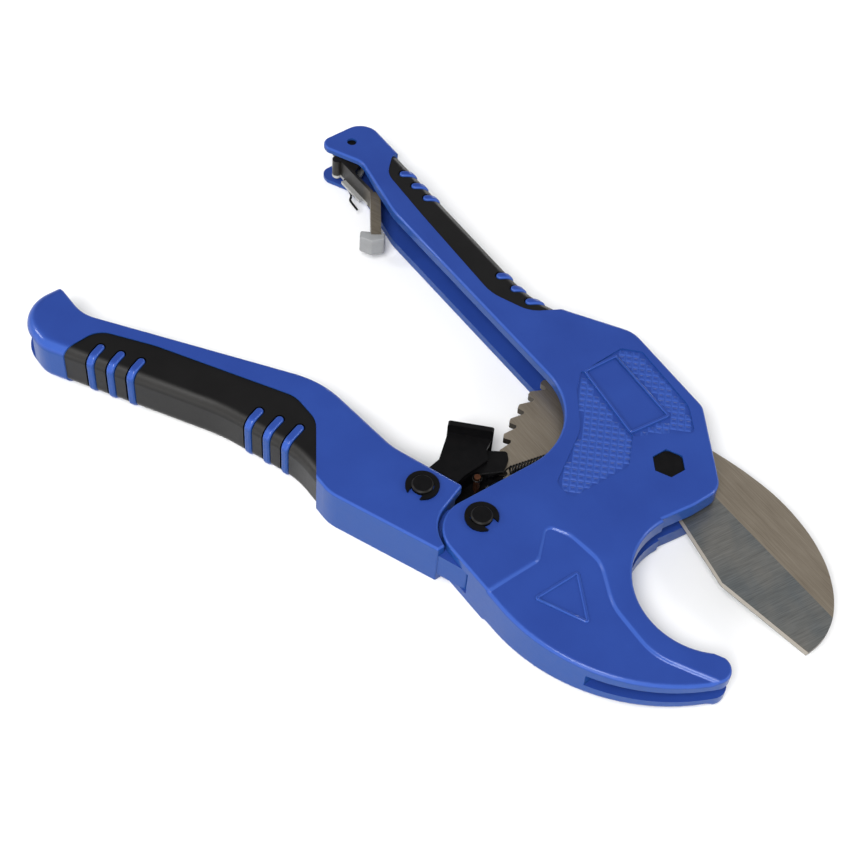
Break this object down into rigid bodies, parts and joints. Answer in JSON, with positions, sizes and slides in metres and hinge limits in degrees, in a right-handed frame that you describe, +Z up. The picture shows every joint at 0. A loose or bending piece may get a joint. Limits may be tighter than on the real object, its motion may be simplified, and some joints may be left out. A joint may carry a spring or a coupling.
{
  "type": "pipe cutter",
  "caption": "Ratcheting plastic pipe cutter: hooked jaw, pivoting blade with ratchet teeth, pawl with a release lever, two gripped handles and a swinging handle latch.",
  "frame": {"origin": "centre of the whole cutter's footprint, on the plane of its underside", "axes": "+X along the fixed handle towards the jaw, +Y away from the moving handle, +Z up through the thickness as the cutter lies on its side"},
  "size_m": [0.2186, 0.1428, 0.0171],
  "materials": {
    "blue_paint": "satin enamel over a casting",
    "grip_rubber": "semi-matt moulded rubber",
    "blade_steel": "ground",
    "bright_steel": "turned",
    "black_steel": "black oxide",
    "spring_wire": "oiled spring wire",
    "strap_steel": "plated",
    "copper_post": "copper plated",
    "cap_plastic": "semi-matt"
  },
  "bodies": {
    "frame": {"frame": "blue_paint", "frame_grip": "grip_rubber", "pivot_bolt": "black_steel", "pivot_nut": "black_steel", "handle_pin": "black_steel", "handle_pin_clip": "black_steel", "latch_pin": "black_steel", "latch_spring": "spring_wire"},
    "handle": {"moving_handle": "blue_paint", "handle_grip": "grip_rubber", "pawl_pin": "black_steel", "pawl_pin_clip": "black_steel"},
    "pawl_link": {"pawl_bush": "bright_steel"},
    "pawl_lever": {"pawl": "black_steel", "release_lever": "black_steel", "lever_rivets": "black_steel", "spring_post": "copper_post", "pawl_spring": "spring_wire"},
    "blade_link": {"blade_sleeve": "bright_steel", "pivot_washers": "bright_steel"},
    "blade": {"blade": "blade_steel"},
    "latch": {"latch_strap": "strap_steel", "latch_cap": "cap_plastic"}
  },
  "joints": [
    {"name": "handle_squeeze", "type": "hinge", "parent": "frame", "child": "handle", "pos_m": [0.03141, -0.00439, 0.0078], "axis": [0, 0, -1], "range_deg": [0, 30], "stiffness_Nm_per_rad": 0.4},
    {"name": "pawl_follow", "type": "hinge", "parent": "handle", "child": "pawl_link", "pos_m": [0.01441, -0.01149, 0.0078], "axis": [0, 0, 1], "range_deg": [0, 48]},
    {"name": "pawl_release", "type": "hinge", "parent": "pawl_link", "child": "pawl_lever", "pos_m": [0.01441, -0.01149, 0.0078], "axis": [0, 0, 1], "range_deg": [0, 4], "stiffness_Nm_per_rad": 0.01, "deforming": ["pawl_spring"]},
    {"name": "blade_feed", "type": "hinge", "parent": "frame", "child": "blade_link", "pos_m": [0.04591, 0.04901, 0.0078], "axis": [0, 0, -1], "range_deg": [0, 16]},
    {"name": "blade_ratchet", "type": "hinge", "parent": "blade_link", "child": "blade", "pos_m": [0.04591, 0.04901, 0.0078], "axis": [0, 0, -1], "range_deg": [-25, 27]},
    {"name": "latch_swing", "type": "hinge", "parent": "frame", "child": "latch", "pos_m": [-0.10339, 0.04751, 0.0078], "axis": [0, 0, -1], "range_deg": [0, 64], "stiffness_Nm_per_rad": 0.01, "deforming": ["latch_spring"]}
  ],
  "couplings": [
    {"joint": "pawl_follow", "follows": "handle_squeeze", "ratio": 1.5917},
    {"joint": "blade_feed", "follows": "handle_squeeze", "ratio": 0.5197}
  ]
}
